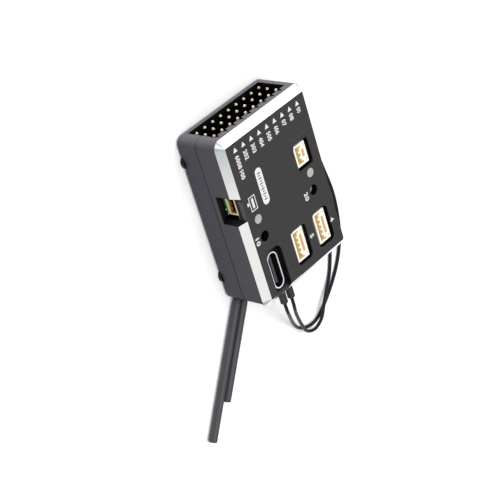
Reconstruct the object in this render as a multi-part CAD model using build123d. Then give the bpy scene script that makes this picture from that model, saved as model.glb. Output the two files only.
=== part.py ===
# Flight controller for a model helicopter: a small case milled in two shells, with a
# three-row servo header in one end, plug sockets under windows in the label face and two
# aerial leads. Millimetres. The back lies on the floor, so +Z looks out of the label face,
# and +Y points to the servo header. The origin is the centre of the back face.
import os
from math import pi, radians, tan

from build123d import *

os.makedirs("parts", exist_ok=True)

# Case
case_width = 28.4
case_length = 40.6
case_height = 13.0
seam_height = 5.8
side_wall = 1.4
label_wall = 1.2
back_wall = 0.9
corner_radius = 2.0
label_corner_radius = 0.3
chamfer_height = 1.6
chamfer_side = 1.5
chamfer_end = 1.7
back_round = 0.8
seam_bevel = 0.1
step_depth = 0.3
step_inset = 8.6
step_top = 10.1
step_low_left = -2.2
step_low_top = -8.4

# Screw posts and case screws
screw_inset_x = 1.4
screw_inset_y = 6.0
post_width = 2.6
post_length = 4.6
post_gap = 0.1
pad_width = 3.6
pad_height = 1.65
ledge_width = 2.3
head_bore = 4.2
head_bore_depth = 1.15
head_diameter = 3.7
head_sink = 0.05
head_round = 0.35
screw_diameter = 1.6
screw_length = 8.0
screw_gap = 0.05
hex_size = 1.3
hex_depth = 0.7

# Servo header
pin_pitch = 2.54
pin_columns = 9
pin_rows = 3
pin_size = 0.64
pin_point = 0.6
pin_gap = 0.03
pin_tail = 0.7
pin_tip_sink = 0.35
header_middle = 5.5
mouth_gap = 0.07
mouth_low = 1.75
mouth_high = 9.5
header_block_length = 2.5
key_depth = 0.95
key_start = -1.45
key_shoulder = -0.85
key_tip = -0.45
key_end = -0.35
header_board_face = 11.0
header_board_thickness = 1.0
header_board_rise = 3.8

# Boards
board_gap = 0.4
notch_gap = 0.2
main_board_thickness = 1.0
main_board_end = 9.1
board_low_gap = 0.8
upper_board_thickness = 0.9
upper_board_end = 8.6
board_notch_width = 3.0
board_notch_low = -0.6
board_notch_high = 2.2

# Plug sockets under the windows
socket_width = 3.65
socket_height = 4.25
socket_sink = 0.75
socket_pitch = 1.25
socket_ends = 2.5
window_width = 5.2
window_ends = 0.6
window_radius = 1.25
row_inset = 6.25
inner_x = 0.3
three_way_y = 5.7
five_way_inset = 7.75
socket_wall = 0.45
socket_floor = 0.8
comb_slot_width = 1.25
finger_reach = 0.45
finger_width = 0.45
key_slot_width = 0.8
key_slot_x = 0.75
key_slot_ends = 1.6
key_slot_depth = 1.3
latch_slot_width = 0.35
latch_slot_length = 0.6
latch_slot_depth = 1.0
latch_slot_side = 0.45
latch_slot_end = 0.85
contact_width = 0.5
contact_thickness = 0.4
contact_sink = 0.5

# Side notch and its socket
notch_low = 1.3
notch_high = 6.5
notch_flare = 0.8
notch_depth = 1.6
notch_rise = 0.1
notch_rib_width = 1.2
notch_rib_gap = 0.1
side_port_inset = 1.6
side_port_depth = 4.25
side_port_ways = 3
side_port_y = 4.8
side_port_height = 2.85
side_port_wall = 0.35
side_port_base = 0.7
side_port_room = 3.3

# Charging and data port
port_c_x = -8.2
port_c_inset = 6.3
port_c_width = 3.2
port_c_length = 8.94
port_c_height = 6.4
port_c_wall = 0.25
port_c_gap = 0.1
port_c_plug = 1.0
tongue_thickness = 0.7
tongue_length = 6.7
tongue_sink = 0.8
terminal_count = 12
terminal_pitch = 0.5
terminal_width = 0.25
terminal_thickness = 0.06
terminal_sink = 0.25
recess_x = -8.3
recess_width = 4.8
recess_depth = 1.2
recess_length = 12.2
recess_radius = 1.8
pad_thickness = 0.9
pad_margin = 0.6

# Light windows and buttons
light_diameter = 2.3
light_flange = 0.4
light_flange_thickness = 0.4
light_gap = 0.03
light_insets = {"left": 4.55, "right": 5.5}
light_ys = {"left": 0.05, "right": 0.75}
light_chip_size = (1.6, 1.2, 0.6)
light_chip_gap = 0.3
button_hole = 2.4
button_insets = {"left": 4.9, "right": 6.0}
button_ys = {"left": -4.4, "right": -3.3}
button_sinks = {"left": 2.4, "right": 1.4}
button_diameter = 1.7
button_travel = 0.25
button_frame_length = 3.4
button_frame_width = 3.0
button_frame_height = 1.8
button_base = 0.3
button_lid = 0.5
button_collar = 2.0
button_side_gap = 0.3
button_running_gap = 0.05
button_stop_gap = 0.05

# Aerials
aerial_places = {"1": -5.85, "2": -3.4}
aerial_rise = 0.6
boot_diameter = 1.75
boot_gap = 0.05
boot_reach = 4.5
boot_collar = 2.2
boot_collar_length = 0.6
lead_diameter = 0.81
aerial_plug_y = -7.6
aerial_plug_diameter = 2.0
aerial_plug_height = 1.2
barrel_width = 1.3
barrel_reach = 2.0
sleeve_diameter = 2.0
sleeve_round = 0.3

# Chips on the boards, each as length, width and height
mcu_size = (10.0, 10.0, 1.2)
mcu_place = (0.0, -9.0)
gyro_size = (3.0, 2.5, 0.9)
gyro_place = (0.0, -0.5)
memory_size = (5.0, 4.0, 0.8)
memory_place = (7.0, -1.0)
shield_size = (8.0, 6.0, 1.6)
shield_place = (-0.5, -2.0)
clock_size = (2.0, 1.6, 0.6)
clock_place = (-0.5, 3.0)
regulator_size = (3.0, 3.0, 0.9)
regulator_place = (7.5, -7.0)
coil_size = (4.0, 4.0, 2.0)
coil_x = 7.5
coil_inset = 5.1
chip_bevel = 0.12
capacitor_size = (1.0, 0.5, 0.5)
capacitor_pitch = 1.2
capacitor_count = 6
capacitor_place = (-9.5, -4.0)
stack_length = 12.0
stack_width = 2.6
stack_y = 5.0
stack_plug_height = 1.1

# Routes of the aerial leads from the boots to the sleeves, and the tips of the straight sleeves
lead_routes = {
    "1": [
        (-5.85, -24.8, 8.6),
        (-5.85, -27.0, 8.6),
        (-4.0, -29.8, 7.1),
        (-1.6, -33.3, 4.7),
        (0.9, -36.8, 2.3),
        (3.2, -39.6, 0.8),
        (6.1, -41.3, 0.45),
        (9.4, -41.3, 0.45),
        (13.8, -38.6, 0.45),
        (18.6, -34.8, 0.45),
        (21.8, -30.8, 0.45),
        (23.8, -25.6, 0.45),
        (24.7, -20.0, 0.45),
        (24.9, -14.6, 0.45),
        (24.8, -9.8, 0.45),
        (24.2, -5.6, 0.45),
        (21.6, -2.6, 0.45),
        (18.0, -2.4, 0.45),
        (15.5, -5.0, 0.45),
        (15.2, -9.2, 0.45),
        (16.6, -13.6, 0.45),
        (18.0, -18.2, 0.45),
        (16.6, -22.4, 0.45),
        (12.2, -24.4, 0.45),
        (6.8, -24.3, 0.45),
        (1.6, -23.9, 0.45),
        (-2.6, -22.9, 0.45),
        (-6.4, -21.5, 0.5),
        (-8.6, -21.0, 0.6),
        (-10.05, -20.84, 0.8),
        (-11.46, -20.86, 0.95),
        (-12.31, -21.29, 1.0),
        (-12.88, -22.05, 1.0),
    ],
    "2": [
        (-3.4, -24.8, 8.6),
        (-3.4, -27.2, 8.6),
        (-1.8, -30.4, 6.9),
        (0.4, -34.2, 4.9),
        (2.4, -37.9, 3.2),
        (4.3, -41.1, 1.9),
        (7.2, -42.4, 1.65),
        (9.7, -40.9, 1.75),
        (11.2, -38.6, 1.7),
        (13.9, -36.5, 0.9),
        (16.9, -33.8, 0.45),
        (18.9, -29.6, 0.45),
        (20.5, -25.2, 0.45),
        (21.8, -20.4, 0.45),
        (22.8, -15.2, 0.45),
        (23.4, -10.2, 0.45),
        (23.0, -6.2, 0.45),
        (21.0, -4.0, 0.45),
        (18.3, -4.1, 0.45),
        (16.7, -6.4, 0.45),
        (16.9, -10.0, 0.45),
        (18.5, -13.8, 0.45),
        (19.7, -18.8, 0.45),
        (18.0, -24.0, 0.45),
        (13.0, -26.2, 0.45),
        (7.2, -26.4, 0.45),
        (1.6, -26.2, 0.45),
        (-2.4, -25.2, 0.45),
        (-5.4, -23.5, 0.5),
        (-7.1, -22.45, 0.65),
        (-8.25, -22.0, 0.8),
        (-9.37, -21.85, 0.95),
        (-10.26, -22.3, 1.0),
        (-10.86, -23.1, 1.0),
    ],
}
sleeve_tips = {"1": (-31.46, -47.12, 1.0), "2": (-24.2, -41.07, 1.0)}

# Places that follow from the sizes above
half_width = case_width / 2
half_length = case_length / 2
end_wall_face = half_length - side_wall
ceiling = case_height - label_wall
step_left = half_width - step_inset
screw_x = half_width - screw_inset_x
screw_y = half_length - screw_inset_y
post_face = half_width - post_width
pad_face = half_width - pad_width
ledge_face = half_width - ledge_width
main_board_top = pad_height + main_board_thickness
upper_board_top = case_height - socket_sink - socket_height
upper_board_height = upper_board_top - upper_board_thickness
board_half_width = half_width - side_wall - board_gap
board_low_end = -half_length + side_wall + board_low_gap
header_board_half = post_face - post_gap
header_board_high = header_middle + header_board_rise
mouth_half = pin_pitch * pin_columns / 2 + mouth_gap
row_x = half_width - row_inset
five_way_y = -half_length + five_way_inset
notch_wall_x = half_width - notch_depth
notch_floor = upper_board_height + notch_rise
notch_rib_low = upper_board_top + side_port_height + notch_rib_gap
side_port_front = half_width - side_port_inset
port_c_y = -half_length + port_c_inset
recess_floor = case_height - recess_depth
recess_end = -half_length + recess_length
aerial_height = upper_board_top + aerial_rise
coil_place = (coil_x, board_low_end + coil_inset)
column_places = [(i - (pin_columns - 1) / 2) * pin_pitch for i in range(pin_columns)]
row_places = [header_middle + (i - (pin_rows - 1) / 2) * pin_pitch for i in range(pin_rows)]
corner_places = [(x * screw_x, y * screw_y) for x in (-1, 1) for y in (-1, 1)]


def side_place(side, inset, y):
    """A place on the label face, measured in from the left or the right side of the case."""
    x = half_width - inset
    return (-x, y) if side == "left" else (x, y)


light_places = {side: side_place(side, light_insets[side], light_ys[side]) for side in light_insets}
button_places = {side: side_place(side, button_insets[side], button_ys[side]) for side in button_insets}


def block(x_range, y_range, z_range):
    """A box given by its two faces on each axis."""
    spans = [sorted(x_range), sorted(y_range), sorted(z_range)]
    size = [high - low for low, high in spans]
    middle = [(high + low) / 2 for low, high in spans]
    return Pos(*middle) * Box(*size)


def box_on(place, size, low):
    """A box of the given size that stands on a height."""
    return Pos(place[0], place[1], low + size[2] / 2) * Box(*size)


def stud(place, diameter, low, high):
    """An upright round rod."""
    return Pos(place[0], place[1], (low + high) / 2) * Cylinder(diameter / 2, high - low)


def upright(outline, place, low, high):
    """A flat outline raised from one height to another."""
    return Pos(place[0], place[1], low) * extrude(outline, high - low)


def lying_rod(x, diameter, start, end):
    """A round rod along Y at the height of the aerial sockets."""
    rod = Rot(90, 0, 0) * Cylinder(diameter / 2, end - start)
    return Pos(x, (start + end) / 2, aerial_height) * rod


def joined(pieces):
    """All pieces fused into one."""
    shape = pieces[0]
    for piece in pieces[1:]:
        shape = shape + piece
    return shape


def corner_blocks(inner_face, low, high):
    """Blocks round the case screws, from a face out to the side walls."""
    blocks = []
    for x, y in corner_places:
        outer = half_width if x > 0 else -half_width
        inner = inner_face if x > 0 else -inner_face
        blocks.append(block((inner, outer), (y - post_length / 2, y + post_length / 2), (low, high)))
    return joined(blocks)


def corner_studs(diameter, low, high):
    """Round rods at the four case screws."""
    return joined([stud(place, diameter, low, high) for place in corner_places])


def case_outline(inset=0.0):
    """The case seen from the label side, drawn in by a wall."""
    return RectangleRounded(case_width - 2 * inset, case_length - 2 * inset, corner_radius - inset)


def key_notches():
    """Saw-tooth keyways over the header columns, cut up from the top of the mouth."""
    teeth = []
    for x in column_places:
        outline = Polyline(
            (x + key_start, mouth_high - key_depth),
            (x + key_start, mouth_high),
            (x + key_shoulder, mouth_high + key_depth),
            (x + key_tip, mouth_high + key_depth),
            (x + key_end, mouth_high),
            (x + key_end, mouth_high - key_depth),
            close=True,
        )
        tooth = extrude(Plane.XZ * make_face(outline), -2 * side_wall)
        teeth.append(Pos(0, end_wall_face - side_wall / 2, 0) * tooth)
    return joined(teeth)


def header_mouth():
    """The opening in the end wall for the servo plugs."""
    reach = (end_wall_face - side_wall / 2, half_length + side_wall)
    return block((-mouth_half, mouth_half), reach, (mouth_low, mouth_high)) + key_notches()


def side_notch():
    """The milled notch in the long wall that bares the side socket, with flared ends."""
    outer = -notch_wall_x - 2 * notch_depth
    outline = Polyline(
        (-notch_wall_x, notch_low),
        (-notch_wall_x, notch_high),
        (outer, notch_high + 2 * notch_flare),
        (outer, notch_low - 2 * notch_flare),
        close=True,
    )
    return upright(make_face(outline), (0, 0), notch_floor, case_height + 1)


def recess_outline():
    """The sunk bay round the data port, which runs out through the case end."""
    length = 2 * (recess_end + half_length)
    return RectangleRounded(recess_width, length, recess_radius)


def port_c_outline(growth=0.0):
    """The data port's long round-ended section."""
    return Rot(0, 0, 90) * SlotOverall(port_c_length + 2 * growth, port_c_width + 2 * growth)


def face_step():
    """The shallow lower field beside the windows."""
    low = case_height - step_depth
    right = block((step_left, half_width), (-half_length, step_top), (low, case_height))
    foot = block((step_low_left, half_width), (-half_length, step_low_top), (low, case_height))
    return right + foot


def socket_length(ways):
    """Body length of a plug socket with the given number of ways."""
    return socket_pitch * (ways - 1) + socket_ends


def ports():
    """Top-entry sockets as name, middle and number of ways."""
    return [
        ("port_three_way", (row_x, three_way_y), 3),
        ("port_five_way_outer", (row_x, five_way_y), 5),
        ("port_five_way_inner", (inner_x, five_way_y), 5),
    ]


def windows():
    """Rounded openings in the label wall over the sockets."""
    holes = []
    for name, place, ways in ports():
        outline = RectangleRounded(window_width, socket_length(ways) + 2 * window_ends, window_radius)
        holes.append(upright(outline, place, ceiling - 1, case_height + 1))
    return joined(holes)


def small_holes():
    """Holes for the two lights and the two buttons."""
    light_bore = light_diameter + 2 * light_gap
    lights = [stud(place, light_bore, ceiling - 1, case_height + 1) for place in light_places.values()]
    buttons = [stud(place, button_hole, ceiling - 1, case_height + 1) for place in button_places.values()]
    return joined(lights + buttons)


def boot_holes():
    """Holes in the end wall for the rubber boots of the aerial leads."""
    bore = boot_diameter + 2 * boot_gap
    ends = (-half_length - side_wall, -end_wall_face + side_wall)
    return joined([lying_rod(x, bore, *ends) for x in aerial_places.values()])


def top_room():
    """The hollow of the top shell, with its posts, the port's pad and the notch's rib left out."""
    room = upright(case_outline(side_wall), (0, 0), seam_height, ceiling)
    pad_half = recess_width / 2 + pad_margin
    pad_x = (recess_x - pad_half, recess_x + pad_half)
    pad_y = (-half_length, recess_end + pad_margin)
    rib_x = (-half_width, -notch_wall_x + notch_rib_width)
    rib_y = (notch_low - notch_rib_width, notch_high + notch_rib_width)
    room -= corner_blocks(post_face, seam_height, case_height)
    room -= block(pad_x, pad_y, (recess_floor - pad_thickness, case_height))
    room -= block(rib_x, rib_y, (notch_rib_low, case_height))
    return room


def top_shell():
    """Label side of the case: a milled tray with posts, windows and the header mouth."""
    rim_height = case_height - chamfer_height
    shell = upright(case_outline(), (0, 0), seam_height, rim_height)
    shell = chamfer(shell.edges().group_by(Axis.Z)[0], seam_bevel)
    face_size = (case_width - 2 * chamfer_side, case_length - 2 * chamfer_end)
    face = Pos(0, 0, case_height) * RectangleRounded(*face_size, label_corner_radius)
    shell += loft([Pos(0, 0, rim_height) * case_outline(), face])
    recess = upright(recess_outline(), (recess_x, -half_length), recess_floor, case_height + 1)
    port = upright(port_c_outline(port_c_gap), (port_c_x, port_c_y), seam_height, case_height)
    shell = shell - top_room() - face_step() - recess - port
    shell = shell - header_mouth() - side_notch() - windows() - small_holes() - boot_holes()
    thread_end = head_sink + screw_length + 0.5
    return shell - corner_studs(screw_diameter + 2 * screw_gap, seam_height - 1, thread_end)


def rear_shell():
    """Back of the case: a shallow tray with screw posts, board ledges and screw head bores."""
    shell = upright(case_outline(), (0, 0), 0, seam_height)
    shell = fillet(shell.edges().group_by(Axis.Z)[0], back_round)
    shell = chamfer(shell.edges().group_by(Axis.Z)[-1], seam_bevel)
    room = upright(case_outline(side_wall), (0, 0), back_wall, seam_height)
    ledge_y = (-screw_y, main_board_end)
    room -= corner_blocks(post_face, 0, seam_height)
    room -= corner_blocks(pad_face, 0, pad_height)
    room -= block((ledge_face, half_width), ledge_y, (0, pad_height))
    room -= block((-ledge_face, -half_width), ledge_y, (0, pad_height))
    room -= block((-half_width, half_width), (header_board_face, half_length), (0, pad_height))
    heads = corner_studs(head_bore, -1, head_bore_depth)
    shanks = corner_studs(screw_diameter + 2 * screw_gap, 0, seam_height + 1)
    return shell - room - header_mouth() - side_notch() - boot_holes() - heads - shanks


def case_screw(place):
    """A pan-headed case screw with a hexagon socket, driven in from the back."""
    head = stud(place, head_diameter, head_sink, head_bore_depth)
    rim = head.edges().group_by(Axis.Z)[0]
    head = fillet(rim, head_round)
    shank = stud(place, screw_diameter, head_bore_depth, head_sink + screw_length)
    socket = upright(RegularPolygon(hex_size / 2, 6), place, head_sink, head_sink + hex_depth)
    return head + shank - socket


def case_screws():
    return Compound(children=[case_screw(place) for place in corner_places])


def square_bars(size, start, end):
    """Square bars along Y, one for each pin of the servo header."""
    bars = []
    for x in column_places:
        for z in row_places:
            bars.append(block((x - size / 2, x + size / 2), (start, end), (z - size / 2, z + size / 2)))
    return bars


def header_block():
    """The moulded body that holds the header pins."""
    half_high = pin_pitch * pin_rows / 2
    x_range = (-pin_pitch * pin_columns / 2, pin_pitch * pin_columns / 2)
    y_range = (header_board_face, header_board_face + header_block_length)
    body = block(x_range, y_range, (header_middle - half_high, header_middle + half_high))
    for bar in square_bars(pin_size + 2 * pin_gap, y_range[0] - 1, y_range[1] + 1):
        body -= bar
    return body


def header_pin(x, z):
    """One square pin with a pointed tip."""
    start = header_board_face - header_board_thickness - pin_tail
    end = half_length - pin_tip_sink
    shaft_end = end - pin_point
    half = pin_size / 2
    shaft = block((x - half, x + half), (start, shaft_end), (z - half, z + half))
    base = Pos(x, shaft_end, z) * Rot(-90, 0, 0) * Rectangle(pin_size, pin_size)
    point = Pos(x, end, z) * Rot(-90, 0, 0) * Rectangle(half, half)
    return shaft + loft([base, point])


def header_pins():
    return Compound(children=[header_pin(x, z) for x in column_places for z in row_places])


def header_board():
    """The small upright board that the header is soldered to."""
    y_range = (header_board_face - header_board_thickness, header_board_face)
    board = block((-header_board_half, header_board_half), y_range, (pad_height, header_board_high))
    for bar in square_bars(pin_size + 2 * pin_gap, y_range[0] - 1, y_range[1] + 1):
        board -= bar
    return board


def board(end, low, thickness):
    """A circuit board that fills the case, notched round the screw posts."""
    plate = block((-board_half_width, board_half_width), (board_low_end, end), (low, low + thickness))
    notch = post_face - notch_gap
    inner_y = screw_y - post_length / 2 - notch_gap
    for side in (-1, 1):
        x_range = (side * notch, side * half_width)
        plate -= block(x_range, (-half_length, -inner_y), (0, case_height))
        plate -= block(x_range, (inner_y, half_length), (0, case_height))
    return plate


def main_board():
    return board(main_board_end, pad_height, main_board_thickness)


def upper_board():
    """The board with the plug sockets, cut out round the data port and beside the side socket."""
    plate = board(upper_board_end, upper_board_height, upper_board_thickness)
    notch_x = (-half_width, -half_width + board_notch_width)
    plate -= block(notch_x, (board_notch_low, board_notch_high), (0, case_height))
    port = upright(port_c_outline(port_c_gap), (port_c_x, port_c_y), seam_height, case_height)
    return plate - port


def top_socket(place, ways):
    """A top-entry plug socket: a comb slot for the contacts, a keying slot and latch slots."""
    half = socket_length(ways) / 2
    x, y = place
    right = x + socket_width / 2
    top = upper_board_top + socket_height
    floor = upper_board_top + socket_floor
    body = block((right - socket_width, right), (y - half, y + half), (upper_board_top, top))
    left = right - socket_width + socket_wall
    slot_half = half - socket_wall
    body -= block((left, left + comb_slot_width), (y - slot_half, y + slot_half), (floor, top))
    for side in (-1, 1):
        end = y + side * slot_half
        body -= block((left, x + key_slot_width / 2), (end, end - side * finger_width), (floor, top))
    for i in range(ways - 1):
        middle = y + (i - (ways - 2) / 2) * socket_pitch
        finger = (left + comb_slot_width - finger_reach, left + comb_slot_width)
        body += block(finger, (middle - finger_width / 2, middle + finger_width / 2), (floor, top))
    key_half = half - key_slot_ends
    key_range = (x + key_slot_x - key_slot_width / 2, x + key_slot_x + key_slot_width / 2)
    body -= block(key_range, (y - key_half, y + key_half), (top - key_slot_depth, top))
    for side in (-1, 1):
        latch_place = (right - latch_slot_side, y + side * (half - latch_slot_end))
        latch = (latch_slot_width, latch_slot_length, latch_slot_depth)
        body -= box_on(latch_place, latch, top - latch_slot_depth)
    return body


def top_contacts(place, ways):
    """The contact blades that stand in a top-entry socket's comb slot."""
    left = place[0] - socket_width / 2 + socket_wall
    low = upper_board_top + socket_floor
    size = (contact_thickness, contact_width, socket_height - socket_floor - contact_sink)
    blades = []
    for i in range(ways):
        y = place[1] + (i - (ways - 1) / 2) * socket_pitch
        blades.append(box_on((left + contact_thickness / 2, y), size, low))
    return Compound(children=blades)


def side_port():
    """The side-entry socket behind the notch, open to the side of the case."""
    half = socket_length(side_port_ways) / 2
    y_range = (side_port_y - half, side_port_y + half)
    top = upper_board_top + side_port_height
    body = block((-side_port_front, -side_port_front + side_port_depth), y_range, (upper_board_top, top))
    mouth_y = (y_range[0] + side_port_wall, y_range[1] - side_port_wall)
    mouth_z = (upper_board_top + side_port_base, top - side_port_wall)
    return body - block((-side_port_front, -side_port_front + side_port_room), mouth_y, mouth_z)


def side_contacts():
    """Contact blades that lie in the side-entry socket."""
    low = upper_board_top + side_port_base
    size = (side_port_room - contact_sink, contact_width, contact_thickness)
    middle = -side_port_front + side_port_room - size[0] / 2
    blades = []
    for i in range(side_port_ways):
        y = side_port_y + (i - (side_port_ways - 1) / 2) * socket_pitch
        blades.append(box_on((middle, y), size, low))
    return Compound(children=blades)


def port_c_shell():
    """The drawn steel shell of the data port, level with the bay's floor."""
    low = recess_floor - port_c_height
    tube = upright(port_c_outline(), (port_c_x, port_c_y), low, recess_floor)
    return tube - upright(port_c_outline(-port_c_wall), (port_c_x, port_c_y), low, recess_floor)


def port_c_tongue():
    """The moulded plug and tongue inside the data port."""
    low = recess_floor - port_c_height
    plug = upright(port_c_outline(-port_c_wall), (port_c_x, port_c_y), low, low + port_c_plug)
    size = (tongue_thickness, tongue_length, port_c_height - port_c_plug - tongue_sink)
    return plug + box_on((port_c_x, port_c_y), size, low + port_c_plug)


def port_c_terminals():
    """Flat terminals on both sides of the tongue."""
    low = recess_floor - port_c_height + port_c_plug
    size = (terminal_thickness, terminal_width, recess_floor - tongue_sink - terminal_sink - low)
    strips = []
    for side in (-1, 1):
        x = port_c_x + side * (tongue_thickness + terminal_thickness) / 2
        for i in range(terminal_count):
            y = port_c_y + (i - (terminal_count - 1) / 2) * terminal_pitch
            strips.append(box_on((x, y), size, low))
    return Compound(children=strips)


def light_window(place):
    """A clear rod with a flange under the label wall."""
    low = ceiling - light_flange_thickness
    flange = stud(place, light_diameter + 2 * light_flange, low, ceiling)
    level = case_height - step_depth if place[0] > step_left else case_height
    return flange + stud(place, light_diameter, low - light_chip_gap, level)


def light_chip(place):
    return box_on(place, light_chip_size, upper_board_top)


def button_frame(place):
    """The body of a push switch, hollow for the plunger's collar."""
    size = (button_frame_length, button_frame_width, button_frame_height)
    frame = box_on(place, size, upper_board_top)
    top = upper_board_top + button_frame_height
    cell = button_collar + 2 * button_side_gap
    frame -= stud(place, cell, upper_board_top + button_base, top - button_lid)
    return frame - stud(place, button_diameter + 2 * button_running_gap, top - button_lid - 0.1, top)


def button_plunger(place, sink):
    """The plunger of a push switch, with a collar that keeps it in the frame."""
    high = upper_board_top + button_frame_height - button_lid - button_stop_gap
    low = upper_board_top + button_base + button_travel + button_stop_gap
    stem = stud(place, button_diameter, low, case_height - sink)
    rim = stem.edges().group_by(Axis.Z)[-1]
    return fillet(rim, button_diameter / 8) + stud(place, button_collar, low, high)


def aerial_boot(x):
    """A rubber boot through the end wall, with a collar inside the case."""
    collar = lying_rod(x, boot_collar, -end_wall_face, -end_wall_face + boot_collar_length)
    body = lying_rod(x, boot_diameter, -half_length - boot_reach, -end_wall_face)
    rim = body.edges().group_by(Axis.Y)[0]
    return collar + fillet(rim, boot_diameter / 8)


def aerial_core(x):
    """The stretch of lead inside the case, from the boot to its plug."""
    return lying_rod(x, lead_diameter, -end_wall_face + boot_collar_length, aerial_plug_y - barrel_reach)


def aerial_plug(x):
    """The round snap-on plug at the inner end of a lead, with its crimped barrel."""
    place = (x, aerial_plug_y)
    cap = stud(place, aerial_plug_diameter, upper_board_top, upper_board_top + aerial_plug_height)
    half = barrel_width / 2
    y_range = (aerial_plug_y - barrel_reach, aerial_plug_y)
    z_range = (aerial_height - half + 0.1, aerial_height + half - 0.1)
    return cap + block((x - half, x + half), y_range, z_range)


def corner_radii(points):
    """The radius at each corner: as large as the two runs beside it allow."""
    radii = []
    for before, here, after in zip(points, points[1:], points[2:]):
        arriving = Vector(*here) - Vector(*before)
        leaving = Vector(*after) - Vector(*here)
        turn = radians(arriving.get_angle(leaving))
        radii.append(0.45 * min(arriving.length, leaving.length) / tan(turn / 2))
    return radii


def tube(points, radii, diameter):
    """A round rod along straight runs joined by tangent arcs."""
    path = FilletPolyline(*points, radius=radii)
    section = Plane(origin=path @ 0, z_dir=path % 0) * Circle(diameter / 2)
    rod = sweep(section, path=path)
    ratio = rod.volume / (pi * diameter**2 / 4 * path.length)
    return rod, path.length, ratio


def aerial_lead(name):
    """The free lead of one aerial, from its boot to its sleeve."""
    points = lead_routes[name]
    radii = corner_radii(points)
    rod, length, ratio = tube(points, radii, lead_diameter)
    print("lead", name, "length", round(length, 1), "volume ratio", round(ratio, 4))
    print("  radii", [round(radius, 1) for radius in radii])
    return rod


def aerial_sleeve(name):
    """The stiff straight sleeve over the aerial's bare end, from the end of the lead to its tip."""
    start = Vector(*lead_routes[name][-1])
    reach = Vector(*sleeve_tips[name]) - start
    rod = extrude(Plane(origin=start, z_dir=reach) * Circle(sleeve_diameter / 2), reach.length)
    print("sleeve", name, "length", round(reach.length, 1))
    return fillet(rod.edges().group_by(Axis.Y)[0], sleeve_round)


def chip(size, place, low):
    """A moulded chip with bevelled upper edges."""
    body = box_on(place, size, low)
    return chamfer(body.edges().group_by(Axis.Z)[-1], chip_bevel)


def shield_can():
    """The folded tin can over the receiver, open below."""
    wall = chip_bevel
    body = chip(shield_size, shield_place, upper_board_top)
    inner = (shield_size[0] - 2 * wall, shield_size[1] - 2 * wall, shield_size[2] - wall)
    return body - box_on(shield_place, inner, upper_board_top)


def coil():
    """A moulded power coil with rounded corners."""
    outline = RectangleRounded(coil_size[0], coil_size[1], coil_size[0] / 8)
    return upright(outline, coil_place, main_board_top, main_board_top + coil_size[2])


def capacitors():
    """A row of ceramic capacitors on the main board."""
    row = []
    for i in range(capacitor_count):
        place = (capacitor_place[0], capacitor_place[1] - i * capacitor_pitch)
        row.append(box_on(place, capacitor_size, main_board_top))
    return Compound(children=row)


def stack_socket():
    """The socket strip on the main board, up to the plug under the upper board."""
    size = (stack_length, stack_width, upper_board_height - stack_plug_height - main_board_top)
    return box_on((0, stack_y), size, main_board_top)


def stack_plug():
    size = (stack_length, stack_width, stack_plug_height)
    return box_on((0, stack_y), size, upper_board_height - stack_plug_height)


def build_nodes():
    """Every separate piece, under the name of its file."""
    nodes = {
        "top_shell": top_shell(),
        "rear_shell": rear_shell(),
        "case_screws": case_screws(),
        "header_block": header_block(),
        "header_pins": header_pins(),
        "header_board": header_board(),
        "main_board": main_board(),
        "upper_board": upper_board(),
        "stack_socket": stack_socket(),
        "stack_plug": stack_plug(),
        "side_port": side_port(),
        "side_port_contacts": side_contacts(),
        "data_port_shell": port_c_shell(),
        "data_port_tongue": port_c_tongue(),
        "data_port_terminals": port_c_terminals(),
        "mcu_chip": chip(mcu_size, mcu_place, main_board_top),
        "gyro_chip": chip(gyro_size, gyro_place, main_board_top),
        "memory_chip": chip(memory_size, memory_place, main_board_top),
        "regulator_chip": chip(regulator_size, regulator_place, main_board_top),
        "power_coil": coil(),
        "capacitors": capacitors(),
        "receiver_can": shield_can(),
        "clock_crystal": chip(clock_size, clock_place, upper_board_top),
    }
    for name, place, ways in ports():
        nodes[name] = top_socket(place, ways)
        nodes[name + "_contacts"] = top_contacts(place, ways)
    for side, place in light_places.items():
        nodes["light_window_" + side] = light_window(place)
        nodes["light_chip_" + side] = light_chip(place)
    for side, place in button_places.items():
        nodes["button_frame_" + side] = button_frame(place)
        nodes["button_plunger_" + side] = button_plunger(place, button_sinks[side])
    for name, x in aerial_places.items():
        nodes["aerial_boot_" + name] = aerial_boot(x)
        nodes["aerial_core_" + name] = aerial_core(x)
        nodes["aerial_plug_" + name] = aerial_plug(x)
        nodes["aerial_lead_" + name] = aerial_lead(name)
        nodes["aerial_sleeve_" + name] = aerial_sleeve(name)
    return nodes


for node_name, node_shape in build_nodes().items():
    export_step(node_shape, "parts/" + node_name + ".step")
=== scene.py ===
# %% [markdown]
# # A helicopter flight controller
# The real thing is a small black metal box with pins, plug sockets and two aerial leads. It
# could be drawn again in Blender, but then its sizes would drift from the CAD model. So the
# CAD pieces are loaded as a fixed frame, and this scene adds what CAD is poor at: finishes,
# print, limp leads and light. Everything is in metres, in the frame of the CAD: the back of
# the case lies on the floor at z = 0, the label side looks up, and the servo header is at
# the +Y end.

# %% Load the frame
from math import atan2, pi, sqrt

import bmesh
import bpy
from mathutils import Matrix, Vector


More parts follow.
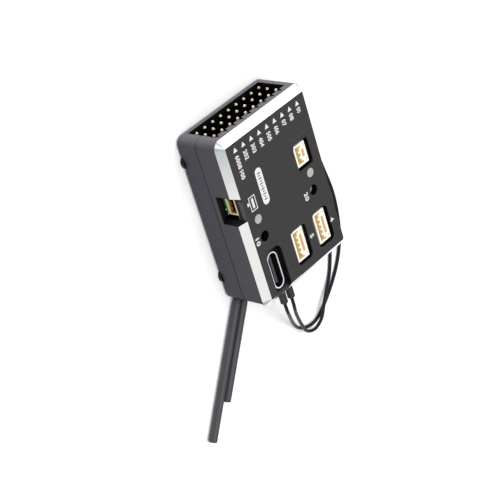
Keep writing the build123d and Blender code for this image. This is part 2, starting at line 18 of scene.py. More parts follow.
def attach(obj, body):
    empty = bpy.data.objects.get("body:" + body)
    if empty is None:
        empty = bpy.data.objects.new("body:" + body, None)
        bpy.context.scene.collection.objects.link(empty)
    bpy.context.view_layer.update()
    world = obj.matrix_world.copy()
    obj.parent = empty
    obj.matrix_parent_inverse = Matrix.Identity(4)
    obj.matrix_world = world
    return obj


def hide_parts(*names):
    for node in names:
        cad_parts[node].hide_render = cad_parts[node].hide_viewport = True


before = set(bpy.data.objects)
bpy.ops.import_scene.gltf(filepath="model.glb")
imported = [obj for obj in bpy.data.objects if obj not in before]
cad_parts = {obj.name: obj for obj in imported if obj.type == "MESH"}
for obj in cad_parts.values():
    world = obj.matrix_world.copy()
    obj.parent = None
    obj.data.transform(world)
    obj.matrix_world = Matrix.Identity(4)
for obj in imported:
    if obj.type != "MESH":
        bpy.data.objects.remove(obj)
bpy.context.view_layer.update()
MM = 0.001
print("nodes loaded:", len(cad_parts))

# %% [markdown]
# ## The camera
# A photograph fixes its camera: with a few known sizes on the object, such as the 2.54 mm
# pitch of the servo pins, the place, the turn and the lens follow. The camera could be
# aimed by a Track To constraint, but this one is rolled as well. So its matrix is written
# from the directions that it calls right, up and backwards.

# %% Camera
CAMERA_PLACE = Vector((-205.01, 156.35, 240.53)) * MM
CAMERA_RIGHT = Vector((0.6376, -0.2664, 0.7228))
CAMERA_FORWARD = Vector((0.5644, -0.4770, -0.6737))
FRAME_PIXELS = 500
FOCAL_PIXELS = 1610.5
SENSOR_MM = 36.0

backwards = -CAMERA_FORWARD.normalized()
right = (CAMERA_RIGHT - CAMERA_RIGHT.dot(backwards) * backwards).normalized()
up = backwards.cross(right)
camera_data = bpy.data.cameras.new("camera")
camera_data.sensor_width = SENSOR_MM
camera_data.lens = FOCAL_PIXELS / FRAME_PIXELS * SENSOR_MM
camera_data.clip_start = 0.01
camera = bpy.data.objects.new("camera", camera_data)
turn = Matrix((right, up, backwards)).transposed().to_4x4()
camera.matrix_world = Matrix.Translation(CAMERA_PLACE) @ turn
bpy.context.scene.collection.objects.link(camera)
bpy.context.scene.camera = camera
print("camera lens in mm:", round(camera_data.lens, 1))

# %% [markdown]
# ## The aerial leads
# Each lead is a 0.81 mm coaxial cable. It leaves its rubber boot in the end wall, drops to
# the floor in one wide loop, turns beside the case, comes back behind its end wall and ends
# in its sleeve. It could be a tube swept along arcs, but a limp cable has no true arcs. So
# it is a NURBS curve: the control points pull it, and it never bends sharply between them.

# %% Routes of the leads
LEAD_DIAMETER = 0.81 * MM
LEAD_ROUTES = {
    "1": [
        (-5.85, -24.8, 8.6),
        (-5.85, -27.0, 8.6),
        (-4.3, -29.6, 7.1),
        (-2.1, -33.0, 4.7),
        (0.4, -36.5, 2.3),
        (2.7, -39.3, 0.8),
        (5.7, -41.1, 0.45),
        (9.4, -41.3, 0.45),
        (13.8, -38.6, 0.45),
        (18.6, -34.6, 0.45),
        (22.0, -30.4, 0.45),
        (24.1, -25.6, 0.45),
        (25.1, -20.4, 0.45),
        (25.4, -15.2, 0.45),
        (24.6, -9.8, 0.45),
        (24.0, -5.6, 0.45),
        (21.6, -2.6, 0.45),
        (18.0, -2.4, 0.45),
        (15.5, -5.0, 0.45),
        (15.2, -9.2, 0.45),
        (16.6, -13.6, 0.45),
        (18.0, -18.2, 0.45),
        (16.6, -22.4, 0.45),
        (12.2, -24.4, 0.45),
        (6.8, -24.3, 0.45),
        (1.6, -23.9, 0.45),
        (-2.6, -22.9, 0.45),
        (-6.4, -21.5, 0.5),
        (-8.6, -21.0, 0.6),
        (-10.05, -20.84, 0.8),
        (-11.46, -20.86, 0.95),
        (-12.31, -21.29, 1.0),
        (-12.88, -22.05, 1.0),
    ],
    "2": [
        (-3.4, -24.8, 8.6),
        (-3.4, -27.2, 8.6),
        (-2.1, -30.2, 6.9),
        (-0.1, -33.9, 4.9),
        (1.9, -37.6, 3.2),
        (3.8, -40.8, 1.9),
        (6.8, -42.2, 1.65),
        (9.7, -40.9, 1.75),
        (11.2, -38.6, 1.7),
        (13.9, -36.5, 0.9),
        (16.9, -33.8, 0.45),
        (18.9, -29.6, 0.45),
        (20.5, -25.2, 0.45),
        (21.8, -20.4, 0.45),
        (22.8, -15.2, 0.45),
        (23.4, -10.2, 0.45),
        (23.0, -6.2, 0.45),
        (21.0, -4.0, 0.45),
        (18.3, -4.1, 0.45),
        (16.7, -6.4, 0.45),
        (16.9, -10.0, 0.45),
        (18.5, -13.8, 0.45),
        (19.7, -18.8, 0.45),
        (18.0, -24.0, 0.45),
        (13.0, -26.2, 0.45),
        (7.2, -26.4, 0.45),
        (1.6, -26.2, 0.45),
        (-2.4, -25.2, 0.45),
        (-5.4, -23.5, 0.5),
        (-7.1, -22.45, 0.65),
        (-8.25, -22.0, 0.8),
        (-9.37, -21.85, 0.95),
        (-10.26, -22.3, 1.0),
        (-10.86, -23.1, 1.0),
    ],
}
print("points in each route:", [len(route) for route in LEAD_ROUTES.values()])

# %% [markdown]
# ## From routes to leads
# A curve gets its thickness from its bevel, scaled by the radius of each point. The bevel
# could be as deep as the lead's radius, but the box of a curve grows by the points' radius
# in metres, and the sizes are checked by that box. So each point has the lead's own radius,
# and the bevel is 1 m deep.


# %% Leads
def lead_curve(name):
    """One aerial lead as a NURBS curve."""
    points = LEAD_ROUTES[name]
    data = bpy.data.curves.new("lead_" + name, "CURVE")
    data.dimensions = "3D"
    data.bevel_depth = 1.0
    data.bevel_resolution = 6
    data.resolution_u = 12
    spline = data.splines.new("NURBS")
    spline.points.add(len(points) - 1)
    for point, place in zip(spline.points, points):
        point.co = (*(value * MM for value in place), 1)
        point.radius = LEAD_DIAMETER / 2
    spline.order_u = 3
    spline.use_endpoint_u = True
    lead = bpy.data.objects.new("lead_" + name, data)
    bpy.context.scene.collection.objects.link(lead)
    return lead


leads = {name: lead_curve(name) for name in LEAD_ROUTES}
for name, lead in leads.items():
    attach(lead, "case")
    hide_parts("aerial_lead_" + name)
    ends = [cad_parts["aerial_boot_" + name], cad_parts["aerial_sleeve_" + name]]
print("leads:", list(leads))

# %% [markdown]
# ## The print on the label face
# On the real case the marks are white ink, pressed through a screen. They could be painted
# as a texture, but a texture blurs when the camera comes near. The ink stands a few
# hundredths of a millimetre proud, so each mark here is a thin raised plate, and its edge
# stays crisp at any distance. Every mark is a plain arrow, number, scale or sign.

# %% Helpers for marks
CASE_TOP = 13.0
LOWER_FIELD_TOP = 12.7
INK = 0.02


def deselect():
    bpy.ops.object.select_all(action="DESELECT")


def sized(piece, width, length):
    """Stretches a flat piece along X and Y, and keeps that in its mesh."""
    piece.scale = (width, length, 1)
    bpy.ops.object.transform_apply(location=False, rotation=False, scale=True)


def raise_flat():
    """Extrudes the flat mesh that is active into a closed plate of ink."""
    bpy.ops.object.mode_set(mode="EDIT")
    bpy.ops.mesh.select_all(action="SELECT")
    bpy.ops.mesh.extrude_region_move(TRANSFORM_OT_translate={"value": (0, 0, INK * MM)})
    bpy.ops.mesh.select_all(action="SELECT")
    bpy.ops.mesh.normals_make_consistent(inside=False)
    bpy.ops.object.mode_set(mode="OBJECT")


def settle(piece, place, turned=(0, 0, 0)):
    """Moves a piece to its place in mm, turns it, and keeps both in its mesh."""
    deselect()
    piece.select_set(True)
    bpy.context.view_layer.objects.active = piece
    piece.location = [value * MM for value in place]
    piece.rotation_euler = turned
    bpy.ops.object.transform_apply(location=True, rotation=True, scale=True)
    return piece


def copied(piece, shift):
    """A copy with its own mesh, moved by a distance in mm."""
    twin = piece.copy()
    twin.data = piece.data.copy()
    twin.data.transform(Matrix.Translation(Vector(shift) * MM))
    bpy.context.scene.collection.objects.link(twin)
    return twin


def as_one(pieces, name):
    """Joins pieces into one that rides on the case."""
    deselect()
    for piece in pieces:
        piece.select_set(True)
    bpy.context.view_layer.objects.active = pieces[0]
    if len(pieces) > 1:
        bpy.ops.object.join()
    whole = bpy.context.object
    whole.name = name
    whole.data.name = name
    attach(whole, "case")
    print(name, "triangles:", sum(len(face.vertices) - 2 for face in whole.data.polygons))
    return whole


print("thickness of the ink in mm:", INK)

# %% [markdown]
# ## Nine arrows
# Over each column of servo pins the real case has a small triangle that points at it. It
# could be drawn point by point, but a circle with three sides is that triangle already. It
# is stretched to the arrow's size, made a plate, and copied at the pitch of the pins, so
# that all nine are alike.

# %% Arrow marks
PIN_PITCH = 2.54
FIRST_COLUMN = -10.16
COLUMNS = 9
ARROW_WIDTH = 1.25
ARROW_LENGTH = 1.1
ARROW_TIP = 17.6

deselect()
bpy.ops.mesh.primitive_circle_add(vertices=3, radius=MM, fill_type="NGON")
arrow = bpy.context.object
# A three-sided circle of radius 1 is as wide as the root of 3, and 1.5 long.
sized(arrow, ARROW_WIDTH / sqrt(3), ARROW_LENGTH / 1.5)
raise_flat()
settle(arrow, (FIRST_COLUMN, ARROW_TIP - ARROW_LENGTH * 2 / 3, CASE_TOP))
arrows = [arrow] + [copied(arrow, (i * PIN_PITCH, 0, 0)) for i in range(1, COLUMNS)]
arrow_marks = as_one(arrows, "arrow_marks")

# %% [markdown]
# ## Plain numbers
# Beside its pins, plugs and buttons the case has plain numbers. They could be traced as
# curves, but Blender's built-in font is at hand and is the same on every computer. Each
# number is made a mesh first, and only then stretched to its height and length and turned,
# so that the figures read towards the aerial end. The offset fattens the strokes, as ink
# spreads.

# %% Numbers
FIGURE_HEIGHT = 1.25
FIGURE_SPREAD = 0.045
FIGURE_SPACING = 1.1
FIGURE_STEPS = 3
WELD = 0.002
# Each number has its words, and where its first figure starts and its last one ends in y.
COLUMN_FIGURES = [
    ("6008", 15.7, 12.6),
    ("202", 15.6, 13.4),
    ("303", 15.7, 13.6),
    ("404", 15.7, 13.6),
    ("505", 15.7, 13.6),
    ("606", 15.7, 13.8),
    ("07", 15.8, 14.3),
    ("08", 15.9, 14.3),
    ("09", 16.0, 14.7),
]
# These stand elsewhere on the label face, so each has its x and its level too.
OTHER_FIGURES = [
    ("900", FIRST_COLUMN, 12.3, 10.1, CASE_TOP),
    ("10", -11.6, -3.6, -5.5, CASE_TOP),
    ("20", 5.4, -2.4, -4.4, CASE_TOP),
    ("4", 11.06, -12.1, -13.1, LOWER_FIELD_TOP),
    ("5", 3.9, -12.1, -13.0, LOWER_FIELD_TOP),
]


def figures(words, x, high_y, low_y, level):
    """A number whose first figure starts at high_y and whose last one ends at low_y."""
    deselect()
    bpy.ops.object.text_add()
    text = bpy.context.object
    text.data.body = words
    text.data.resolution_u = FIGURE_STEPS
    text.data.offset = FIGURE_SPREAD
    text.data.space_character = FIGURE_SPACING
    bpy.ops.object.convert(target="MESH")
    bpy.ops.object.origin_set(type="ORIGIN_GEOMETRY", center="BOUNDS")
    number = bpy.context.object
    width, height = number.dimensions[:2]
    sized(number, (high_y - low_y) * MM / width, FIGURE_HEIGHT * MM / height)
    bpy.ops.object.mode_set(mode="EDIT")
    bpy.ops.mesh.select_all(action="SELECT")
    bpy.ops.mesh.remove_doubles(threshold=WELD * MM)
    bpy.ops.object.mode_set(mode="OBJECT")
    raise_flat()
    return settle(number, (x, (high_y + low_y) / 2, level), (0, 0, -pi / 2))


numbers = []
for i, (words, high_y, low_y) in enumerate(COLUMN_FIGURES):
    numbers.append(figures(words, FIRST_COLUMN + i * PIN_PITCH, high_y, low_y, CASE_TOP))
for row in OTHER_FIGURES:
    numbers.append(figures(*row))
number_marks = as_one(numbers, "number_marks")

# %% [markdown]
# ## A round-ended field
# A long white field with round ends lies beside the columns. It could be joined from an
# oblong and two half discs, but then seams would cross it. A many-sided circle is pulled
# apart along Y instead, one half from the other, which keeps both ends round.

# %% Scale field
FIELD_PLACE = (-5.9, 5.95)
FIELD_WIDTH = 2.0
FIELD_LENGTH = 8.7
FIELD_SIDES = 46


def select_above(piece, axis):
    """Selects the vertices of a mesh in edit mode that lie on the far side of its middle."""
    mesh = bmesh.from_edit_mesh(piece.data)
    for vertex in mesh.verts:
        vertex.select_set(getattr(vertex.co, axis) > 0)
    mesh.select_flush_mode()
    bmesh.update_edit_mesh(piece.data)


deselect()
bpy.ops.mesh.primitive_circle_add(
    vertices=FIELD_SIDES, radius=FIELD_WIDTH / 2 * MM, fill_type="NGON"
)
field = bpy.context.object
spread = FIELD_LENGTH - FIELD_WIDTH
bpy.ops.object.mode_set(mode="EDIT")
select_above(field, "y")
bpy.ops.transform.translate(value=(0, spread * MM, 0))
bpy.ops.object.mode_set(mode="OBJECT")
raise_flat()
settle(field, (FIELD_PLACE[0], FIELD_PLACE[1] - spread / 2, CASE_TOP))
scale_field = as_one([field], "scale_field")

# %% [markdown]
# ## A scale on the field
# On the field stands a plain scale of dark strokes, every other one longer. The strokes
# could be cut through the white, so that the black case shows. A second layer of dark ink
# looks the same and keeps the field in one piece.

# %% Scale strokes
STROKES = 11
STROKE_PITCH = 0.62
STROKE_WIDTHS = (0.95, 0.5225)
STROKE_THICKNESS = 0.22


def flat_bar(width, length, place, level):
    """A thin upright bar of ink."""
    deselect()
    bpy.ops.mesh.primitive_plane_add(size=MM)
    bar = bpy.context.object
    sized(bar, width, length)
    raise_flat()
    return settle(bar, (*place, level))


strokes = []
for i in range(STROKES):
    y = FIELD_PLACE[1] + (i - (STROKES - 1) / 2) * STROKE_PITCH
    width = STROKE_WIDTHS[i % 2]
    strokes.append(flat_bar(width, STROKE_THICKNESS, (FIELD_PLACE[0], y), CASE_TOP + INK))
scale_strokes = as_one(strokes, "scale_strokes")

# %% [markdown]
# ## The sign beside the side socket
# A small outlined oblong with a bar in it and a tab on its outer side shows where the side
# plug goes. Its outline could be four bars, which would meet in four seams. It is a plane
# with an inset instead, whose middle face is deleted, so that the line runs on unbroken.

# %% Plug sign
SIGN_PLACE = (-9.75, 4.0)
SIGN_SIZE = (2.0, 3.4)
SIGN_LINE = 0.2
SIGN_BAR = (0.62, 2.3)
SIGN_TAB = (0.55, 0.75)
SIGN_TAB_PLACE = (-11.15, 4.35)

deselect()
bpy.ops.mesh.primitive_plane_add(size=MM)
outline = bpy.context.object
sized(outline, *SIGN_SIZE)
bpy.ops.object.mode_set(mode="EDIT")
bpy.ops.mesh.select_all(action="SELECT")
bpy.ops.mesh.inset(thickness=SIGN_LINE * MM)
bpy.ops.mesh.delete(type="FACE")
bpy.ops.object.mode_set(mode="OBJECT")
raise_flat()
settle(outline, (*SIGN_PLACE, CASE_TOP))
sign_bar = flat_bar(*SIGN_BAR, SIGN_PLACE, CASE_TOP)
sign_tab = flat_bar(*SIGN_TAB, SIGN_TAB_PLACE, CASE_TOP)
plug_sign = as_one([outline, sign_bar, sign_tab], "plug_sign")

# %% [markdown]
# ## Shrunk ends of the sleeves
# Where a lead enters its sleeve, the sleeve is shrunk onto it. The end could be spun from a
# drawn profile. A short cylinder is quicker and as true: its far rim is drawn in and
# rounded, so that it narrows away from the sleeve.

# %% Shrunk ends
SLEEVE_RUN = Vector((-13.34, -17.97, 0)).normalized()
SLEEVE_STARTS = [(-12.88, -22.05, 1.0), (-10.86, -23.1, 1.0)]
SHRINK_LENGTH = 1.3
SHRINK_NECK = 0.84
SHRINK_ROUND = 0.2
SHRINK_SIDES = 48


def shrunk_end(start):
    """A tapered tube that reaches from a sleeve's start back along its lead."""
    deselect()
    bpy.ops.mesh.primitive_cylinder_add(
        vertices=SHRINK_SIDES, radius=MM, depth=SHRINK_LENGTH * MM
    )
    piece = bpy.context.object
    bpy.ops.object.mode_set(mode="EDIT")
    select_above(piece, "z")
    bpy.ops.transform.resize(value=(SHRINK_NECK, SHRINK_NECK, 1))
    bpy.ops.mesh.bevel(offset=SHRINK_ROUND * MM, segments=3)
    bpy.ops.object.mode_set(mode="OBJECT")
    bpy.ops.object.shade_smooth_by_angle(angle=0.7)
    middle = Vector(start) - SLEEVE_RUN * SHRINK_LENGTH / 2
    return settle(piece, middle, (-SLEEVE_RUN).to_track_quat("Z", "Y").to_euler())


ends = [shrunk_end(start) for start in SLEEVE_STARTS]
shrink_ends = as_one(ends, "shrink_ends")

# %% [markdown]
# ## Solder joints in the side notch
# Two small joints glint on the upper board beside the side socket. They could be half
# balls, but solder runs up its wire and stands as a low cone. So each is a cone whose top
# is rounded.

# %% Solder joints
BOARD_TOP = 8.0
JOINT_PLACES = [(-13.05, 3.7), (-12.85, 2.45)]
JOINT_FOOT = 0.17
JOINT_TOP = 0.08
JOINT_HEIGHT = 0.2
JOINT_ROUND = 0.06


def solder_joint(place):
    """One joint that stands on the upper board."""
    deselect()
    bpy.ops.mesh.primitive_cone_add(
        vertices=24, radius1=JOINT_FOOT * MM, radius2=JOINT_TOP * MM, depth=JOINT_HEIGHT * MM
    )
    piece = bpy.context.object
    bpy.ops.object.mode_set(mode="EDIT")
    select_above(piece, "z")
    bpy.ops.mesh.bevel(offset=JOINT_ROUND * MM, segments=3)
    bpy.ops.object.mode_set(mode="OBJECT")
    bpy.ops.object.shade_smooth_by_angle(angle=0.9)
    return settle(piece, (*place, BOARD_TOP + JOINT_HEIGHT / 2))


joints = [solder_joint(place) for place in JOINT_PLACES]
solder_joints = as_one(joints, "solder_joints")

# %% [markdown]
# ## Helpers for colour and nodes
# A colour is given as an sRGB hex value, and Blender's shaders count in linear light, so one
# function turns the one into the other. Nodes could be placed by hand in the editor.
# Here one function adds a node with its settings and its links, because a material then
# reads from top to bottom like a recipe.


# %% Colour and node helpers
COLOURS = {"data_type": "RGBA"}


def linear(hex_colour):
    """An sRGB hex value as a linear colour."""
    channels = [int(hex_colour[i:i + 2], 16) / 255 for i in (1, 3, 5)]
    curved = [c / 12.92 if c <= 0.04045 else ((c + 0.055) / 1.055) ** 2.4 for c in channels]
    return (*curved, 1.0)


def add(tree, kind, settings=None, inputs=None):
    """Adds a node. Each input is a value, a hex colour, or a socket to link from."""
    node = tree.nodes.new(kind)
    for name, value in (settings or {}).items():
        setattr(node, name, value)
    for name, value in (inputs or {}).items():
        if isinstance(value, bpy.types.NodeSocket):
            tree.links.new(value, node.inputs[name])
        else:
            value = linear(value) if isinstance(value, str) else value
            node.inputs[name].default_value = value
    return node


def new_material(name):
    """A material with no nodes but the object's own coordinates."""
    material = bpy.data.materials.new(name)
    material.use_nodes = True
    tree = material.node_tree
    tree.nodes.clear()
    place = add(tree, "ShaderNodeTexCoord").outputs["Object"]
    return material, tree, place


def grain(size_mm):
    """The scale that gives a noise texture grains of about this size."""
    return 1 / (size_mm * MM)


print("mid grey #808080 in linear light:", round(linear("#808080")[0], 3))

# %% [markdown]
# ## Helpers for places and pieces
# A finish often covers only a part of a piece, such as a pocket. It could be painted by hand
# on a texture map, but the CAD meshes have none. So a place is given as boxes in
# millimetres, and a node compares the object's own coordinates with them.


# %% Place and dress helpers
def within(tree, place, boxes):
    """One where the place is in any of the boxes, each given by two corners in mm."""
    here = add(tree, "ShaderNodeSeparateXYZ", {}, {"Vector": place}).outputs
    found = None
    for low, high in boxes:
        inside = None
        for axis, start, end in zip("XYZ", low, high):
            span = {0: here[axis], 1: (start + end) / 2 * MM, 2: (end - start) / 2 * MM}
            near = add(tree, "ShaderNodeMath", {"operation": "COMPARE"}, span).outputs[0]
            if inside is not None:
                pair = {0: inside, 1: near}
                near = add(tree, "ShaderNodeMath", {"operation": "MULTIPLY"}, pair).outputs[0]
            inside = near
        if found is not None:
            pair = {0: found, 1: inside}
            inside = add(tree, "ShaderNodeMath", {"operation": "MAXIMUM"}, pair).outputs[0]
        found = inside
    return found


def dress(names, material):
    """Gives CAD nodes a material."""
    for name in names:
        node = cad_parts[name]
        for slot in node.material_slots:
            slot.material = material
        if not node.material_slots:
            node.data.materials.append(material)
    print(material.name, "on", len(names), "nodes")


def coat(pieces, material):
    """Gives new pieces a material."""
    for piece in pieces:
        piece.data.materials.clear()
        piece.data.materials.append(material)
    print(material.name, "on", len(pieces), "new pieces")


print("CAD pieces to dress:", len(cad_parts))

# %% [markdown]
# ## Places on the case
# The pockets that are milled deepest, such as the windows and the header mouth, get little
# light, so they are painted near black, as painted shade. The walls that look to the header end
# are painted a shade greyer than the sides, as painted light, and those that look away from it
# are painted darker, as painted shade. Lights alone could do this, but a few boxes and slopes
# hold it from every side.

# %% Places and slopes of the case
BEVEL_LOW = 11.42
BEVEL_SLOPE = 0.69
BEVEL_SPAN = 0.13
# Painted shade: boxes in mm where the deep pockets are painted near black.
PAINTED_SHADE_POCKETS = [
    ((-12.82, -18.92, 0.88), (12.82, 18.92, 11.82)),
    ((-11.54, 15.0, 1.72), (11.54, 20.26, 10.48)),
    ((-14.17, 0.3, 6.5), (-12.62, 7.5, 12.98)),
    ((-13.6, 5.85, 11.5), (-12.4, 6.75, 12.98)),
    ((5.34, 2.58, 11.7), (10.56, 8.82, 12.98)),
    ((5.34, -16.92, 11.7), (10.56, -8.18, 12.68)),
    ((-2.32, -16.92, 11.7), (2.92, -8.18, 12.68)),
    ((-10.72, -20.4, 11.83), (-5.88, -8.05, 12.98)),
    ((-10.52, -5.62, 11.0), (-8.08, -3.18, 12.98)),
    ((6.98, -4.52, 11.0), (9.42, -2.08, 12.68)),
]
# Painted highlight: a light line along the edge of the step by the three-way socket.
STEP_EDGE = [((5.7, 10.03, 12.9), (12.8, 10.16, 13.01))]
# Painted light: a strip of the side notch's inner wall is painted lighter.
NOTCH_WALL = [((-12.75, 0.5, 10.5), (-12.45, 5.85, 12.98))]
SEAM = [((-15, -21, 5.7), (15, 19.4, 5.9))]
# Painted light and shade by the way a wall faces: lighter towards the header end, darker away
# from it, and a lighter bluish grey on the walls that face -X. A tint sets in where the
# surface's normal passes the first value along an axis, and has its full share, the third value,
# at the second; the last is its colour.
PAINTED_FACING_LIGHT = [
    ("Y", 0.2, 1.0, 1.0, "#6b6a70"),
    ("Y", -0.3, -0.9, 1.0, "#1a191c"),
    ("X", -0.6, -0.95, 0.4, "#45434d"),
]
print("dark pockets:", len(PAINTED_SHADE_POCKETS))

# %% [markdown]
# ## The black of the case: blasted and anodised aluminium
# The shells are milled from aluminium, blasted with fine grit and dyed near black, so they
# are dull and even, with a faint cloud in the dye. A metallic shader could do, but it goes
# too dark between the lights: the dyed oxide over the metal scatters light as a plastic
# does, so the metallic value is 0. The grit leaves pits of about 0.05 mm. They are drawn at
# 0.35 mm, so that they show.

# %% Black anodised metal
DYE_CLOUD = 2.5
PIT_SIZE = 0.35
PIT_DEPTH = 0.02


def black_anodised(tree, place, low, high):
    """Blasted metal under black dye, with painted light and shade laid on it. Low and high are
    two shades of the dye.
    """
    normal = add(tree, "ShaderNodeNewGeometry").outputs["Normal"]
    facing = add(tree, "ShaderNodeSeparateXYZ", {}, {"Vector": normal}).outputs
    cloud = {"Vector": place, "Scale": grain(DYE_CLOUD), "Detail": 2.0}
    cloud = add(tree, "ShaderNodeTexNoise", {}, cloud).outputs["Fac"]
    dye_and_painted_light = add(tree, "ShaderNodeMix", COLOURS, {"Factor": cloud, "A": low, "B": high})
    # Painted light on the notch wall, and a painted highlight on the step's edge.
    painted_light_and_seam = [
        (within(tree, place, NOTCH_WALL), "#4e4a51"),
        (within(tree, place, STEP_EDGE), "#5b5a60"),
    ]
    # Painted light and shade by the way each wall faces.
    for axis, start, full, most, tint in PAINTED_FACING_LIGHT:
        span = {"Value": facing[axis], "From Min": start, "From Max": full, "To Max": most}
        painted_light_and_seam.append((add(tree, "ShaderNodeMapRange", {}, span).outputs["Result"], tint))
    # Painted shade, near black, in the deep pockets, and the dark line of the seam between the
    # shells.
    painted_light_and_seam.append((within(tree, place, PAINTED_SHADE_POCKETS + SEAM), "#050608"))
    for share, tint in painted_light_and_seam:
        layers = {"Factor": share, "A": dye_and_painted_light.outputs["Result"], "B": tint}
        dye_and_painted_light = add(tree, "ShaderNodeMix", COLOURS, layers)

    pits = {"Vector": place, "Scale": grain(PIT_SIZE), "Detail": 3.0}
    pits = add(tree, "ShaderNodeTexNoise", {}, pits).outputs["Fac"]
    blasted = {"Strength": 0.3, "Distance": PIT_DEPTH * MM, "Height": pits}
    blasted = add(tree, "ShaderNodeBump", {}, blasted).outputs["Normal"]
    black = add(tree, "ShaderNodeBsdfPrincipled", {}, {
        "Base Color": dye_and_painted_light.outputs["Result"],
        "Metallic": 0.0,
        "Roughness": 0.5,
        "Specular IOR Level": 0.2,
        "Normal": blasted,
    })
    return black.outputs[0]


print("drawn pits in each mm:", round(1 / PIT_SIZE, 1))

# %% [markdown]
# ## The cut edge of the case: bare aluminium
# A diamond tool cuts the long bevel round the label face through the dye, and the bare metal
# shines and mirrors the room. Part of that is a painted reflection: the colour is painted a
# little cooler near the header and whitest on the header end's own bevel. Lights alone could
# give it, but then it would flicker between black and white as the view turns. The tool's feed
# lines are 0.02 mm apart on the real edge, and are drawn at 0.2 mm.

# %% Bare cut metal
FEED_LINE = 0.2
FEED_DEPTH = 0.01
COOL_START = 6
COOL_FULL = 19


def bare_metal(tree, place):
    """Bright cut aluminium, with a painted reflection: cooler near the header, whitest on the
    header end's bevel.
    """
    normal = add(tree, "ShaderNodeNewGeometry").outputs["True Normal"]
    slope = add(tree, "ShaderNodeSeparateXYZ", {}, {"Vector": normal}).outputs
    here = add(tree, "ShaderNodeSeparateXYZ", {}, {"Vector": place}).outputs
    # Painted reflection: cooler towards the header end, and whitest where the bevel faces it.
    painted_cool_reflection = {"Value": here["Y"], "From Min": COOL_START * MM, "From Max": COOL_FULL * MM}
    painted_cool_reflection = add(tree, "ShaderNodeMapRange", {}, painted_cool_reflection).outputs["Result"]
    shade = {"Factor": painted_cool_reflection, "A": "#f4f3f1", "B": "#c3cacd"}
    shade = add(tree, "ShaderNodeMix", COLOURS, shade).outputs["Result"]
    painted_end_bevel_reflection = {"Value": slope["Y"], "From Min": 0.1, "From Max": 0.5}
    painted_end_bevel_reflection = add(tree, "ShaderNodeMapRange", {}, painted_end_bevel_reflection).outputs["Result"]
    shade = {"Factor": painted_end_bevel_reflection, "A": shade, "B": "#fbfbfb"}
    shade = add(tree, "ShaderNodeMix", COLOURS, shade).outputs["Result"]
    lines = {"Vector": place, "Scale": grain(FEED_LINE), "Detail": 1.0}
    lines = add(tree, "ShaderNodeTexNoise", {}, lines).outputs["Fac"]
    turned = {"Strength": 0.1, "Distance": FEED_DEPTH * MM, "Height": lines}
    turned = add(tree, "ShaderNodeBump", {}, turned).outputs["Normal"]
    bright = add(tree, "ShaderNodeBsdfPrincipled", {}, {
        "Base Color": shade, "Metallic": 1.0, "Roughness": 0.22, "Normal": turned
    })
    return bright.outputs[0]


print("drawn feed lines in each mm:", round(1 / FEED_LINE, 1))

# %% [markdown]
# ## The two finishes in one material
# The cut edge could be a piece of its own, but it is the same metal as the shell. So one
# material carries both finishes. The edge is where the place is high on the case and the
# surface slants by about 45 degrees, so no seam or texture map is needed.


# %% Case material
def case_material(name, low, high):
    """Black anodised aluminium that is bare on its cut bevel."""
    material, tree, place = new_material(name)
    normal = add(tree, "ShaderNodeNewGeometry").outputs["True Normal"]
    slope = add(tree, "ShaderNodeSeparateXYZ", {}, {"Vector": normal}).outputs
    here = add(tree, "ShaderNodeSeparateXYZ", {}, {"Vector": place}).outputs
    above = {0: here["Z"], 1: BEVEL_LOW * MM}
    above = add(tree, "ShaderNodeMath", {"operation": "GREATER_THAN"}, above).outputs[0]
    slanted = {0: slope["Z"], 1: BEVEL_SLOPE, 2: BEVEL_SPAN}
    slanted = add(tree, "ShaderNodeMath", {"operation": "COMPARE"}, slanted).outputs[0]
    cut = {0: above, 1: slanted}
    cut = add(tree, "ShaderNodeMath", {"operation": "MULTIPLY"}, cut).outputs[0]
    both = {0: cut, 1: black_anodised(tree, place, low, high), 2: bare_metal(tree, place)}
    both = add(tree, "ShaderNodeMixShader", {}, both).outputs[0]
    add(tree, "ShaderNodeOutputMaterial", {}, {"Surface": both})
    return material


# The rear shell is a touch bluer and darker than the label shell.
dress(["top_shell"], case_material("anodised_aluminium_label_shell", "#363435", "#3c3a3b"))
dress(["rear_shell"], case_material("anodised_aluminium_rear_shell", "#313038", "#36353e"))

# %% [markdown]
# ## Mouldings: nylon, rubber, plastics and ink
# A moulding is never one flat colour. Its dye drifts a little from place to place, and the
# steel mould leaves a fine texture that breaks up its gloss. Each could have nodes of its
# own, but they differ only in numbers, so one function makes them all and each call says
# what the real thing is. The mould's texture of about 0.02 mm is drawn at 0.5 mm, so that
# it shows.

# %% Moulded materials
MOULD_GRAIN = 0.5
MOULD_DEPTH = 0.01
INK_GRAIN = 0.3


def moulding(name, low, high, roughness, specular=0.5, grain_mm=MOULD_GRAIN):
    """A moulded plastic whose dye drifts between two shades."""
    material, tree, place = new_material(name)
    drift = {"Vector": place, "Scale": grain(grain_mm * 4), "Detail": 2.0}
    drift = add(tree, "ShaderNodeTexNoise", {}, drift).outputs["Fac"]
    colour = {"Factor": drift, "A": low, "B": high}
    colour = add(tree, "ShaderNodeMix", COLOURS, colour).outputs["Result"]
    texture = {"Vector": place, "Scale": grain(grain_mm), "Detail": 2.0}
    texture = add(tree, "ShaderNodeTexNoise", {}, texture).outputs["Fac"]
    normal = {"Strength": 0.3, "Distance": MOULD_DEPTH * MM, "Height": texture}
    normal = add(tree, "ShaderNodeBump", {}, normal).outputs["Normal"]
    shader = add(tree, "ShaderNodeBsdfPrincipled", {}, {
        "Base Color": colour,
        "Metallic": 0.0,
        "Roughness": roughness,
        "Specular IOR Level": specular,
        "Normal": normal,
    })
    add(tree, "ShaderNodeOutputMaterial", {}, {"Surface": shader.outputs[0]})
    return material


